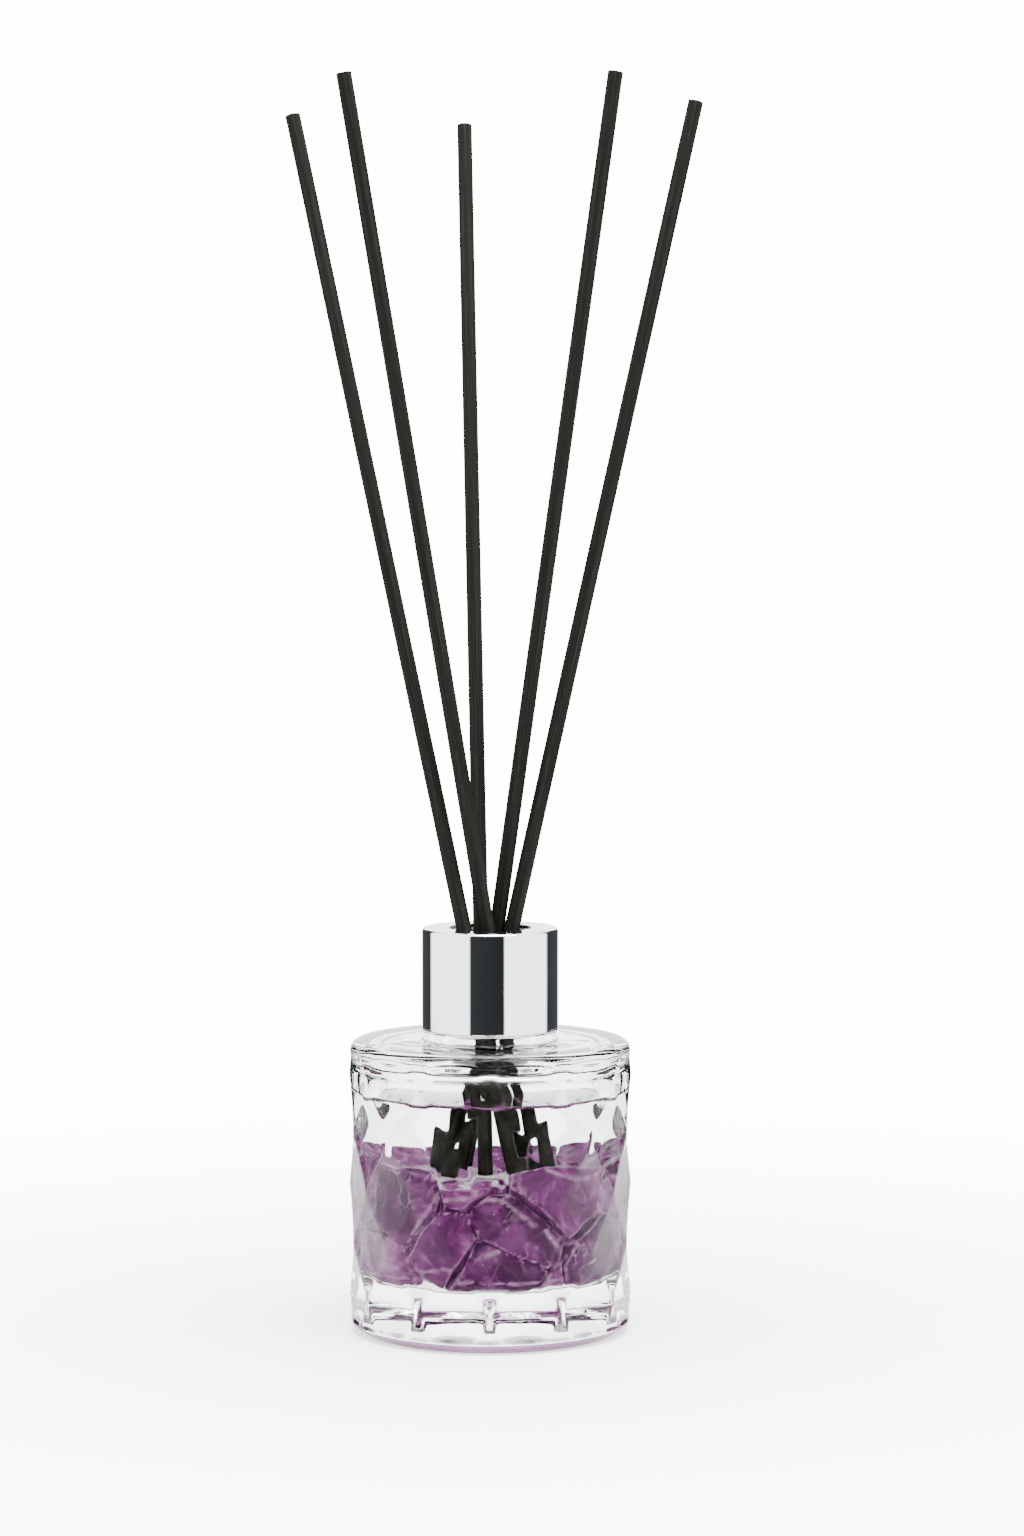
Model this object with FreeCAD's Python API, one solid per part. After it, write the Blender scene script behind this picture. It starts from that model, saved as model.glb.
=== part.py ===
import FreeCAD, Part

import math
import os
import random

# A reed fragrance diffuser: a faceted glass bottle with a screwed-on chrome collar, five fibre
# reeds, scented oil and a bed of amethyst chips.  Millimetres, +Z up.  The origin is the centre
# of the base's underside, on the surface that the bottle stands on.

# --- bottle, outside ---
BODY_RADIUS = 32.0          # to the ridges between the facets
BODY_HEIGHT = 66.4          # base to shoulder
FACETS_AROUND = 12
FACET_HALF_HEIGHT = 12.5
LOWEST_RING_Z = -3.9        # first ring of facet corners, below the base and so cut away
FACET_RINGS = 7
HEEL_RADIUS = 2.6           # round from the side to the foot
SHOULDER_RADIUS = 2.5       # round from the side to the top
FOOT_INNER_RADIUS = 24.0    # the foot is a flat ring round a shallow hollow
PUNT_DEPTH = 1.2

# --- bottle, inside ---
CAVITY_RADIUS = 27.5
CAVITY_FLOOR_Z = 13.0
CAVITY_CEILING_Z = 62.0
CAVITY_FLOOR_ROUND = 3.0
CAVITY_CEILING_ROUND = 4.0

# --- neck and its thread ---
NECK_RADIUS = 12.6
NECK_BORE_RADIUS = 9.5
NECK_TOP_Z = 89.2
NECK_BEAD_RADIUS = 15.3     # low glass ring at the foot of the neck
NECK_BEAD_HEIGHT = 1.9
THREAD_PITCH = 4.23
THREAD_TURNS = 1.25
THREAD_DEPTH = 1.0
THREAD_ROOT_WIDTH = 1.7
THREAD_CREST_WIDTH = 0.9
THREAD_START_Z = 79.0
THREAD_SINK = 0.2           # how far a ridge is rooted in the wall that carries it

# --- collar: chrome shell over a threaded liner, on a sealing ring ---
COLLAR_RADIUS = 15.5
COLLAR_BOTTOM_Z = 68.6
COLLAR_TOP_Z = 91.75
COLLAR_HOLE_RADIUS = 9.3
SHELL_WALL = 0.4
SHELL_TOP_THICKNESS = 0.8
SHELL_EDGE_ROUND = 0.35
LINER_BORE_RADIUS = 13.9
LINER_INSET = 0.3           # liner's lower edge above the shell's
SEAL_THICKNESS = 1.0
SEAL_OUTER_RADIUS = 12.4

# --- reeds ---
REED_DIAMETER = 3.5
REED_LENGTH = 250.0
REED_REFERENCE_Z = 91.7     # the height at which each reed's place is given
# place x, place y, slope x per z, slope y per z, height of the lower end
REED_PLACES = [
    (-5.99, -1.43, -0.2154, 0.1989, 37.38),
    (-0.76, -1.09, -0.1664, 0.0026, 37.12),
    (-2.19, 5.06, -0.0224, 0.2965, 37.36),
    (1.62, 6.73, 0.1381, 0.0059, 37.16),
    (5.07, 4.71, 0.2240, 0.1153, 37.28),
]

# --- oil ---
OIL_LEVEL_Z = 54.0
REED_CLEARANCE = 0.3        # round each reed in the oil

# --- amethyst chips ---
CHIP_LAYERS = 3
CHIP_SPACING = 12.2
CHIP_JITTER = 2.0
CHIP_SHORTEST_EDGE = 0.05
CHIP_PLANE_SHIFT = 0.04     # step back of a plane that would leave a shorter edge
CHIP_GAP = 0.3
CHIP_WALL_SIDES = 24
CHIP_CORNER_CUTS = 7
CHIP_CORNER_KEEP = 0.86
BED_TOP_Z = 36.2            # highest point of the chips under the reeds
BED_FLAT_RADIUS = 16.0
BED_RISE = 0.45             # slope of the bed towards the wall
CHIP_SEED = 11

ON_PLANE = 1e-9
SAME_POINT = 1e-7
UP = FreeCAD.Vector(0, 0, 1)
ORIGIN = FreeCAD.Vector(0, 0, 0)


def vector(x, y, z):
    return FreeCAD.Vector(x, y, z)


def on_circle(radius, degrees, z):
    angle = math.radians(degrees)
    return vector(radius * math.cos(angle), radius * math.sin(angle), z)


def cylinder(radius, bottom, top):
    return Part.makeCylinder(radius, top - bottom, vector(0, 0, bottom), UP)


def tube(outer, inner, bottom, top):
    return cylinder(outer, bottom, top).cut(cylinder(inner, bottom, top))


def planar_solid(polygons):
    """A solid from flat polygons, each a list of corner points."""
    faces = [Part.Face(Part.makePolygon(corners + [corners[0]])) for corners in polygons]
    solid = Part.Solid(Part.Shell(faces))
    if solid.Volume < 0:
        solid.reverse()
    return solid


def revolved(edges):
    """The solid swept by a closed profile in the XZ plane turning about Z."""
    face = Part.Face(Part.Wire(edges))
    return face.revolve(ORIGIN, UP, 360)


def profile(*steps):
    """Edges of a profile: straight to a (r, z) pair, or an arc through one pair to another."""
    here = vector(steps[0][0], 0, steps[0][1])
    edges = []
    for step in steps[1:]:
        there = vector(step[-2], 0, step[-1])
        if len(step) == 4:
            middle = vector(step[0], 0, step[1])
            edges.append(Part.Arc(here, middle, there).toShape())
        else:
            edges.append(Part.makeLine(here, there))
        here = there
    return edges


def corner_arc(centre_r, centre_z, radius, to_r, to_z, degrees):
    """Step of a profile: a quarter round about a centre, its middle at the given angle."""
    angle = math.radians(degrees)
    return (centre_r + radius * math.cos(angle), centre_z + radius * math.sin(angle), to_r, to_z)


# ---------------------------------------------------------------- bottle

def facet_body():
    """Rings of corner points, each turned half a step from the last, joined by triangles.

    Two triangles meet on each chord of a ring and make one diamond facet, hollowed along
    that chord.
    """
    step = 360.0 / FACETS_AROUND
    rings = []
    for row in range(FACET_RINGS):
        turn = step / 2 if row % 2 == 0 else 0.0
        height = LOWEST_RING_Z + row * FACET_HALF_HEIGHT
        rings.append([on_circle(BODY_RADIUS, k * step + turn, height) for k in range(FACETS_AROUND)])
    polygons = [rings[0], rings[-1]]
    for row in range(FACET_RINGS - 1):
        lower, upper = rings[row], rings[row + 1]
        lead = 1 if row % 2 == 0 else 0
        for k in range(FACETS_AROUND):
            after = (k + 1) % FACETS_AROUND
            polygons.append([lower[k], lower[after], upper[(k + lead) % FACETS_AROUND]])
            polygons.append([upper[k], upper[after], lower[(k + 1 - lead) % FACETS_AROUND]])
    return planar_solid(polygons)


def body_envelope():
    """Turned form that gives the facet body its foot, heel round and shoulder round."""
    wide = BODY_RADIUS + 0.5
    side = BODY_RADIUS - 0.6
    punt_top = FOOT_INNER_RADIUS * 0.5
    edges = profile(
        (0, PUNT_DEPTH),
        (punt_top, PUNT_DEPTH * 0.78, FOOT_INNER_RADIUS, 0),
        (side - HEEL_RADIUS, 0),
        corner_arc(side - HEEL_RADIUS, HEEL_RADIUS, HEEL_RADIUS, side, HEEL_RADIUS, -45),
        (wide, HEEL_RADIUS * 2.6),
        (wide, BODY_HEIGHT - SHOULDER_RADIUS * 2.0),
        (side + 0.3, BODY_HEIGHT - SHOULDER_RADIUS),
        corner_arc(side + 0.3 - SHOULDER_RADIUS, BODY_HEIGHT - SHOULDER_RADIUS, SHOULDER_RADIUS,
                   side + 0.3 - SHOULDER_RADIUS, BODY_HEIGHT, 45),
        (0, BODY_HEIGHT),
        (0, PUNT_DEPTH),
    )
    return revolved(edges)


def cavity():
    """The space inside the glass, up through the neck."""
    low, high = CAVITY_FLOOR_ROUND, CAVITY_CEILING_ROUND
    floor, ceiling = CAVITY_FLOOR_Z, CAVITY_CEILING_Z
    edges = profile(
        (0, floor),
        (CAVITY_RADIUS - low, floor),
        corner_arc(CAVITY_RADIUS - low, floor + low, low, CAVITY_RADIUS, floor + low, -45),
        (CAVITY_RADIUS, ceiling - high),
        corner_arc(CAVITY_RADIUS - high, ceiling - high, high, CAVITY_RADIUS - high, ceiling, 45),
        (NECK_BORE_RADIUS, ceiling),
        (NECK_BORE_RADIUS, NECK_TOP_Z + 1),
        (0, NECK_TOP_Z + 1),
        (0, floor),
    )
    return revolved(edges)


def thread_ridge(wall_radius, start_z, outward):
    """A helical ridge on a cylinder's wall, standing outward (1) or inward (-1)."""
    height = THREAD_PITCH * THREAD_TURNS
    root = wall_radius - outward * THREAD_SINK
    crest = wall_radius + outward * THREAD_DEPTH
    helix = Part.makeHelix(THREAD_PITCH, height, wall_radius)
    half_root, half_crest = THREAD_ROOT_WIDTH / 2, THREAD_CREST_WIDTH / 2
    corners = [
        vector(root, 0, -half_root),
        vector(crest, 0, -half_crest),
        vector(crest, 0, half_crest),
        vector(root, 0, half_root),
    ]
    section = Part.makePolygon(corners + [corners[0]])
    ridge = Part.Wire(helix.Edges).makePipeShell([section], True, True)
    ridge.translate(vector(0, 0, start_z))
    return ridge


def glass_bottle():
    body = facet_body().common(body_envelope())
    bead = cylinder(NECK_BEAD_RADIUS, BODY_HEIGHT - 1, BODY_HEIGHT + NECK_BEAD_HEIGHT)
    neck = cylinder(NECK_RADIUS, BODY_HEIGHT - 1, NECK_TOP_Z)
    neck = neck.fuse(thread_ridge(NECK_RADIUS, THREAD_START_Z, 1))
    return body.fuse([bead, neck]).cut(cavity())


# ---------------------------------------------------------------- collar

def collar_shell():
    """Drawn chrome cup, open below, with a round hole in its top."""
    edge = SHELL_EDGE_ROUND
    outside = revolved(profile(
        (0, COLLAR_BOTTOM_Z),
        (COLLAR_RADIUS, COLLAR_BOTTOM_Z),
        (COLLAR_RADIUS, COLLAR_TOP_Z - edge),
        corner_arc(COLLAR_RADIUS - edge, COLLAR_TOP_Z - edge, edge,
                   COLLAR_RADIUS - edge, COLLAR_TOP_Z, 45),
        (0, COLLAR_TOP_Z),
        (0, COLLAR_BOTTOM_Z),
    ))
    inner_top = COLLAR_TOP_Z - SHELL_TOP_THICKNESS
    room = cylinder(COLLAR_RADIUS - SHELL_WALL, COLLAR_BOTTOM_Z - 1, inner_top)
    hole = cylinder(COLLAR_HOLE_RADIUS, inner_top - 1, COLLAR_TOP_Z + 1)
    return outside.cut([room, hole])


def collar_liner():
    """Moulded liner that fills the shell and carries the inner thread."""
    outer = COLLAR_RADIUS - SHELL_WALL
    bottom = COLLAR_BOTTOM_Z + LINER_INSET
    top = COLLAR_TOP_Z - SHELL_TOP_THICKNESS
    seat = NECK_TOP_Z + SEAL_THICKNESS
    wall = tube(outer, LINER_BORE_RADIUS, bottom, seat)
    crown = tube(outer, COLLAR_HOLE_RADIUS, seat, top)
    ridge = thread_ridge(LINER_BORE_RADIUS, THREAD_START_Z - THREAD_PITCH / 2, -1)
    return wall.fuse([crown, ridge]).removeSplitter()


def sealing_ring():
    return tube(SEAL_OUTER_RADIUS, NECK_BORE_RADIUS, NECK_TOP_Z, NECK_TOP_Z + SEAL_THICKNESS)


# ---------------------------------------------------------------- reeds

def reed(place, radius=REED_DIAMETER / 2, extra=0.0):
    """A straight rod on a reed's line, longer by extra at its lower end."""
    x, y, slope_x, slope_y, bottom_z = place
    along = vector(slope_x, slope_y, 1)
    foot = vector(x, y, REED_REFERENCE_Z) + along * (bottom_z - REED_REFERENCE_Z)
    along.normalize()
    return Part.makeCylinder(radius, REED_LENGTH + extra, foot - along * extra, along)


# ---------------------------------------------------------------- amethyst chips

def dot(a, b):
    return a[0] * b[0] + a[1] * b[1] + a[2] * b[2]


def between(a, b, share):
    return tuple(p + (q - p) * share for p, q in zip(a, b))


def ordered(points, normal):
    """Corner points of a convex cap, in order round its normal."""
    centre = tuple(sum(p[axis] for p in points) / len(points) for axis in range(3))
    first = vector(*points[0]) - vector(*centre)
    first.normalize()
    second = vector(*normal).cross(first)

    def angle(point):
        spoke = vector(*point) - vector(*centre)
        return math.atan2(spoke.dot(second), spoke.dot(first))

    return sorted(points, key=angle)


def clipped(polygons, normal, limit):
    """A convex solid's polygons after cutting off all that lies past a plane."""
    kept = []
    cap = []
    for corners in polygons:
        inside = []
        for here, there in zip(corners, corners[1:] + corners[:1]):
            depth_here = dot(here, normal) - limit
            depth_there = dot(there, normal) - limit
            if depth_here <= ON_PLANE:
                inside.append(here)
            if abs(depth_here) <= ON_PLANE:
                cap.append(here)
            if min(depth_here, depth_there) < -ON_PLANE and max(depth_here, depth_there) > ON_PLANE:
                crossing = between(here, there, depth_here / (depth_here - depth_there))
                inside.append(crossing)
                cap.append(crossing)
        if len(inside) > 2:
            kept.append(inside)
    unique = []
    for point in cap:
        if all(math.dist(point, other) > SAME_POINT for other in unique):
            unique.append(point)
    if len(unique) > 2:
        kept.append(ordered(unique, normal))
    return kept


def shortest_edge(polygons):
    return min(math.dist(a, b) for ring in polygons for a, b in zip(ring, ring[1:] + ring[:1]))


def trimmed(polygons, normal, limit):
    """The same cut as clipped, made a little deeper while it leaves too short an edge."""
    result = clipped(polygons, normal, limit)
    while shortest_edge(result) < CHIP_SHORTEST_EDGE:
        limit -= CHIP_PLANE_SHIFT
        result = clipped(polygons, normal, limit)
    return result


def box_polygons(centre, half):
    corner = {}
    for key in [(i, j, k) for i in (-1, 1) for j in (-1, 1) for k in (-1, 1)]:
        corner[key] = tuple(c + half * s for c, s in zip(centre, key))
    sides = []
    for axis in range(3):
        for sign in (-1, 1):
            ring = []
            for a, b in ((-1, -1), (1, -1), (1, 1), (-1, 1)):
                key = [a, b]
                key.insert(axis, sign)
                ring.append(corner[tuple(key)])
            sides.append(ring)
    return sides


def chip_centres(chance):
    """Staggered layers of loosely placed points in the lower part of the cavity."""
    layer_step = (BED_TOP_Z - CAVITY_FLOOR_Z) / CHIP_LAYERS
    row_step = CHIP_SPACING * math.sqrt(3) / 2
    reach = CAVITY_RADIUS - CHIP_SPACING * 0.36
    centres = []
    for layer in range(CHIP_LAYERS):
        z = CAVITY_FLOOR_Z + layer_step * (layer + 0.5)
        for row in range(-3, 4):
            for place in range(-3, 4):
                x = (place + 0.5 * (row % 2) + 0.33 * layer) * CHIP_SPACING
                y = (row + 0.33 * layer) * row_step
                if math.hypot(x, y) < reach:
                    centres.append((
                        x + chance.uniform(-CHIP_JITTER, CHIP_JITTER),
                        y + chance.uniform(-CHIP_JITTER, CHIP_JITTER),
                        z + chance.uniform(-CHIP_JITTER, CHIP_JITTER),
                    ))
    return centres


def bed_planes(centre):
    """Planes that keep a chip inside the glass and under the reeds: (normal, limit) pairs."""
    planes = [((0, 0, -1), -(CAVITY_FLOOR_Z + CHIP_GAP))]
    wall = (CAVITY_RADIUS - CHIP_GAP) * math.cos(math.pi / CHIP_WALL_SIDES)
    half = math.sqrt(0.5)
    corner_loss = CAVITY_FLOOR_ROUND * (math.sqrt(2) - 1) + CHIP_GAP
    for k in range(CHIP_WALL_SIDES):
        angle = 2 * math.pi * k / CHIP_WALL_SIDES
        across, along = math.cos(angle), math.sin(angle)
        planes.append(((across, along, 0), wall))
        limit = (wall - CAVITY_FLOOR_Z) * half - corner_loss
        planes.append(((across * half, along * half, -half), limit))
    radius = math.hypot(centre[0], centre[1])
    rise = BED_RISE if radius > BED_FLAT_RADIUS else 0.0
    tilt = (-rise * centre[0] / radius, -rise * centre[1] / radius, 1.0)
    planes.append((tilt, BED_TOP_Z - rise * BED_FLAT_RADIUS))
    return planes


def amethyst_chips():
    """One convex chip round each centre: its share of the bed, less a gap and its corners."""
    chance = random.Random(CHIP_SEED)
    centres = chip_centres(chance)
    chips = []
    for centre in centres:
        polygons = box_polygons(centre, CHIP_SPACING * 1.5)
        for other in centres:
            if other is centre or math.dist(other, centre) > CHIP_SPACING * 3:
                continue
            span = math.dist(other, centre)
            normal = tuple((q - p) / span for p, q in zip(centre, other))
            limit = dot(normal, between(centre, other, 0.5)) - CHIP_GAP / 2
            polygons = trimmed(polygons, normal, limit)
        for normal, limit in bed_planes(centre):
            polygons = trimmed(polygons, normal, limit)
        for _ in range(CHIP_CORNER_CUTS):
            raw = vector(chance.gauss(0, 1), chance.gauss(0, 1), chance.gauss(0, 1))
            raw.normalize()
            normal = (raw.x, raw.y, raw.z)
            reach = max(dot(p, normal) for ring in polygons for p in ring) - dot(centre, normal)
            polygons = trimmed(polygons, normal, dot(centre, normal) + reach * CHIP_CORNER_KEEP)
        chips.append(planar_solid([[vector(*p) for p in ring] for ring in polygons]))
    return chips


# ---------------------------------------------------------------- oil

def fragrance_oil(chips):
    """The oil fills the cavity up to its level, round the chips and the reeds."""
    pool = cavity().common(cylinder(CAVITY_RADIUS + 1, CAVITY_FLOOR_Z - 1, OIL_LEVEL_Z))
    wells = [reed(place, REED_DIAMETER / 2 + REED_CLEARANCE, REED_CLEARANCE) for place in REED_PLACES]
    return pool.cut(chips + wells)


def main():
    os.makedirs("parts", exist_ok=True)
    nodes = {
        "glass_bottle": glass_bottle(),
        "collar_shell": collar_shell(),
        "collar_liner": collar_liner(),
        "sealing_ring": sealing_ring(),
    }
    for number, place in enumerate(REED_PLACES, start=1):
        nodes["reed_%d" % number] = reed(place)
    chips = amethyst_chips()
    for number, chip in enumerate(chips, start=1):
        nodes["amethyst_%02d" % number] = chip
    nodes["fragrance_oil"] = fragrance_oil(chips)
    for name, shape in nodes.items():
        shape.exportStep("parts/%s.step" % name)
        print(name, shape.isValid(), len(shape.Solids), round(shape.Volume, 1))


main()
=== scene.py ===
import math

import bpy
import numpy as np
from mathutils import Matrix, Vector


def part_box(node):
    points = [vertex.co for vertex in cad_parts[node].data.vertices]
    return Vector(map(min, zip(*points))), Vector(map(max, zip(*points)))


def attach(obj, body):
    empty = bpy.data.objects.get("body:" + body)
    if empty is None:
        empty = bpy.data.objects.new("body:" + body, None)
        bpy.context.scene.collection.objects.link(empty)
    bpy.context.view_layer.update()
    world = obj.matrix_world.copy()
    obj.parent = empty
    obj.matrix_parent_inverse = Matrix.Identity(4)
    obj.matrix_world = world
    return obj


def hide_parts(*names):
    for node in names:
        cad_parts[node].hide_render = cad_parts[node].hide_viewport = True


# A reed fragrance diffuser: faceted glass bottle, chrome collar, five dyed fibre reeds, clear oil
# and a bed of amethyst chips.  Every piece is a surface worked out on a grid of two parameters,
# in metres, standing where the frame has it.

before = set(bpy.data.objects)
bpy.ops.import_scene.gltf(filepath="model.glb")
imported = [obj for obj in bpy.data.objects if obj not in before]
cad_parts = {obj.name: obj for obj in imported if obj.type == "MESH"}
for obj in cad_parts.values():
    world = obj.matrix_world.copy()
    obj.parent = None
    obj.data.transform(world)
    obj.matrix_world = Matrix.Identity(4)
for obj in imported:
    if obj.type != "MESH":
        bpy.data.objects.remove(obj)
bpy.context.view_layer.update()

MM = 0.001
TAU = 2 * math.pi

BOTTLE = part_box("glass_bottle")
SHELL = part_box("collar_shell")
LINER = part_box("collar_liner")
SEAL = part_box("sealing_ring")
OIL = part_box("fragrance_oil")

# ---------------------------------------------------------------- sizes, from the frame

BODY_RADIUS = BOTTLE[1].x
NECK_TOP = BOTTLE[1].z
FACETS_AROUND = 12
FACET_HALF_WIDTH = TAU / FACETS_AROUND / 2
FACET_HALF_HEIGHT = 12.5 * MM
FACET_CENTRE_Z = 21.1 * MM
FACET_STEPS = 15                    # grid steps in half a facet, so that ridges meet grid points
STEPS_DOWN = 21                     # grid steps of straight side below the facets' centre line
STEPS_UP = 51                       # and above it
FACET_VALLEY = 0.45                 # how soft the fold across a facet is, as a share of it
TIP_FLAT = 0.04 * MM                # what the round body takes off the facets' tips
BODY_HEIGHT = 66.4 * MM
PUNT_RADIUS = 24.0 * MM             # edge of the shallow hollow under the base
PUNT_HEIGHT = 1.2 * MM
FOOT_INSET = 2.9 * MM               # how far the foot ring stands in from the side
FOOT_CHAMFER = 2.0 * MM             # height of the sloped edge between the foot ring and the side
PAINTED_FOOT_REFLECTION_HEIGHT = 2.2 * MM         # the ring at the foot that carries a painted reflection of the stones, up and in from the side
PAINTED_FOOT_REFLECTION_WIDTH = 3.2 * MM
FACETS_FADE_IN = (1.4 * MM, 4.0 * MM)           # heights
FACETS_FADE_OUT = (61.5 * MM, 65.5 * MM)
CAVITY_RADIUS = OIL[1].x
CAVITY_FLOOR = OIL[0].z
CAVITY_CEILING = 62.0 * MM
OIL_LEVEL = OIL[1].z
NECK_RADIUS = 12.6 * MM
BEAD_RADIUS = 15.3 * MM
BEAD_HEIGHT = 1.9 * MM
NECK_BORE = 9.5 * MM
THREAD_PITCH = 4.23 * MM
THREAD_TURNS = 1.25
THREAD_START = 79.0 * MM
THREAD_HEIGHT = 1.0 * MM
THREAD_ABOVE = 70.0 * MM            # only the neck above this height carries the thread
WAVER_BEYOND = 20.0 * MM            # only the cavity's skin beyond this radius waves
OIL_SOAK = 0.07 * MM                # how far the oil's skin lies inside the glass that it wets
OIL_CLIMB = 0.9 * MM                # height of the meniscus
COLLAR_RADIUS = SHELL[1].x
COLLAR_HOLE = 9.3 * MM
SHELL_WALL = 0.4 * MM
SHELL_TOP = 0.8 * MM
LINER_BORE = 13.9 * MM
SEAL_RADIUS = SEAL[1].x
REED_RADIUS = 1.75 * MM
POLE = 0.05 * MM                    # radius at which a surface's end row is drawn together
CHIP_SWELL = 0.13 * MM              # how far the chips' sides stand out into the gaps between them
CHIP_SHARPNESS = 30                 # the higher this power, the sharper a chip's edges
CHIP_SCOOPS = 9

# ---------------------------------------------------------------- studio values

BACKDROP_LIGHT = 15.0               # what lies straight behind the object
STUDIO_LIGHT = 4.0                  # what lights it and what it mirrors
LIGHT_THROUGH_GLASS = 5.8           # the same surroundings, as clear pieces pass them on
PAINTED_STONE_GLOW = 0.30                   # painted glow: the stones give off their own colour, standing in for light carried round into their shaded sides
PALER_THROUGH_GLASS = 0.72          # how much of a dark flag is lost to light through clear pieces
FLOOR_GLOW = 1.5
FADE = 2.4                          # one over the distance at which the floor has faded out
FLAGS = [                           # degrees from the front, positive to the right, and whiteness
    (-180, 1.0), (-166, 1.0), (-160, 0.02), (-121, 0.012), (-115, 0.95), (-35.5, 1.0),
    (-33.5, 0.012), (23.5, 0.007), (25.5, 1.0), (107, 1.0), (113, 0.012), (160, 0.02),
    (166, 1.0), (180, 1.0),
]
CAMERA_PLACE = (4.95 * MM, -957.3 * MM, 193.1 * MM)
CAMERA_DIP = 0.068                  # radians below level
CAMERA_LENS = 99.48                 # millimetres, on a 36 mm sensor


# ---------------------------------------------------------------- building surfaces

def rounded(corners, steps=8):
    """A profile through (r, z, round) corners: each corner with a round becomes a circular bend.

    The bend starts and ends where a circle of that radius touches the two straight runs, and is
    drawn as a quadratic curve pulled to the corner with the weight that makes it circular.
    """
    points = []
    last = len(corners) - 1
    for index, (r, z, bend) in enumerate(corners):
        here = np.array([r, z])
        if not bend or index in (0, last):
            points.append(here[None])
            continue
        before = np.array(corners[index - 1][:2]) - here
        after = np.array(corners[index + 1][:2]) - here
        before = before / np.linalg.norm(before)
        after = after / np.linalg.norm(after)
        half = math.acos(np.clip(before @ after, -1, 1)) / 2
        reach = bend / math.tan(half)
        start, end = here + before * reach, here + after * reach
        t = np.linspace(0, 1, steps + 1)[:, None]
        weight = math.sin(half)
        top = start * (1 - t) ** 2 + here * 2 * weight * t * (1 - t) + end * t ** 2
        points.append(top / ((1 - t) ** 2 + 2 * weight * t * (1 - t) + t ** 2))
    return np.concatenate(points)


def refined(path, step):
    """The same path with points added evenly along each run, so that no run is longer than step."""
    runs = np.linalg.norm(np.diff(path, axis=0), axis=1)
    counts = np.maximum(1, np.ceil(runs / step)).astype(int)
    at = np.concatenate([i + np.arange(n) / n for i, n in enumerate(counts)] + [[len(path) - 1.0]])
    places = np.arange(len(path))
    return np.stack([np.interp(at, places, path[:, k]) for k in range(path.shape[1])], axis=1)


def turned(path, columns):
    """Grids of radius, angle and height for a profile carried round the Z axis."""
    angle = np.arange(columns) / columns * TAU
    radius = np.repeat(path[:, :1], columns, axis=1)
    height = np.repeat(path[:, 1:2], columns, axis=1)
    return radius, np.repeat(angle[None], len(path), axis=0), height


def round_points(radius, angle, height):
    return np.stack([radius * np.cos(angle), radius * np.sin(angle), height], axis=-1)


def skin(name, points, loop=False, uv=None):
    """A closed mesh from points[i, j]: j goes round and joins up, i runs along the profile.

    With loop the last row joins the first, as round a ring.  Otherwise the first and the last row
    are each drawn together in one pole.  uv gives the two scales of a map along j and i.
    """
    rows, columns = points.shape[:2]
    i = np.arange(rows if loop else rows - 1)[:, None]
    j = np.arange(columns)[None]
    below, above = i * columns, ((i + 1) % rows) * columns
    right = (j + 1) % columns
    quads = np.stack([below + j, below + right, above + right, above + j], axis=-1).reshape(-1, 4)
    places = points.reshape(-1, 3)
    row_of = np.repeat(np.arange(rows), columns).astype(float)
    column_of = np.tile(np.arange(columns), rows).astype(float)
    fans = np.zeros((0, 3), int)
    if not loop:
        poles = np.stack([points[0].mean(0), points[-1].mean(0)])
        places = np.concatenate([places, poles])
        row_of = np.concatenate([row_of, [0, rows - 1]])
        column_of = np.concatenate([column_of, [0, 0]])
        first, last = rows * columns, rows * columns + 1
        edge = (rows - 1) * columns
        j = np.arange(columns)
        right = (j + 1) % columns
        fans = np.concatenate([
            np.stack([np.full(columns, first), right, j], axis=1),
            np.stack([np.full(columns, last), edge + j, edge + right], axis=1),
        ])
    a, b, c, d = (places[quads[:, k]] for k in range(4))
    volume = np.einsum("ij,ij->i", a, np.cross(b, c) + np.cross(c, d)).sum()
    if volume < 0:
        quads, fans = quads[:, ::-1], fans[:, ::-1]
    corners = np.concatenate([quads.ravel(), fans.ravel()])
    sizes = np.concatenate([np.full(len(quads), 4), np.full(len(fans), 3)])
    mesh = bpy.data.meshes.new(name)
    mesh.vertices.add(len(places))
    mesh.vertices.foreach_set("co", places.astype(np.float32).ravel())
    mesh.loops.add(len(corners))
    mesh.loops.foreach_set("vertex_index", corners.astype(np.int32))
    mesh.polygons.add(len(sizes))
    mesh.polygons.foreach_set("loop_start", (np.cumsum(sizes) - sizes).astype(np.int32))
    mesh.polygons.foreach_set("use_smooth", np.ones(len(sizes), bool))
    mesh.update(calc_edges=True)
    if uv:
        across = column_of[corners]
        first_of = np.repeat(np.cumsum(sizes) - sizes, sizes)
        # a face that crosses the seam reads the far side of the map, not its start
        across = np.where(np.abs(across - across[first_of]) > columns / 2,
                          across + columns * np.sign(across[first_of] - across), across)
        layer = mesh.uv_layers.new(name="along")
        pairs = np.stack([across / columns * uv[0], row_of[corners] / (rows - 1) * uv[1]], axis=1)
        layer.data.foreach_set("uv", pairs.astype(np.float32).ravel())
    piece = bpy.data.objects.new(name, mesh)
    bpy.context.scene.collection.objects.link(piece)
    return piece


def settle(piece, body, slot, material, *nodes):
    """Gives a piece its body and its finish, and hides the CAD nodes that it stands for."""
    piece.data.materials.append(material)
    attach(piece, body)
    if nodes:
        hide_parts(*nodes)
    return piece


def cad_places(node):
    """The corners of a CAD node's mesh, as an array."""
    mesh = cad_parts[node].data
    places = np.empty(len(mesh.vertices) * 3, np.float32)
    mesh.vertices.foreach_get("co", places)
    return places.reshape(-1, 3).astype(float)


def ramped(x, start, end):
    """0 before start, 1 after end, and a smooth S between."""
    t = np.clip((x - start) / (end - start), 0, 1)
    return t * t * (3 - 2 * t)


# ---------------------------------------------------------------- materials

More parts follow.
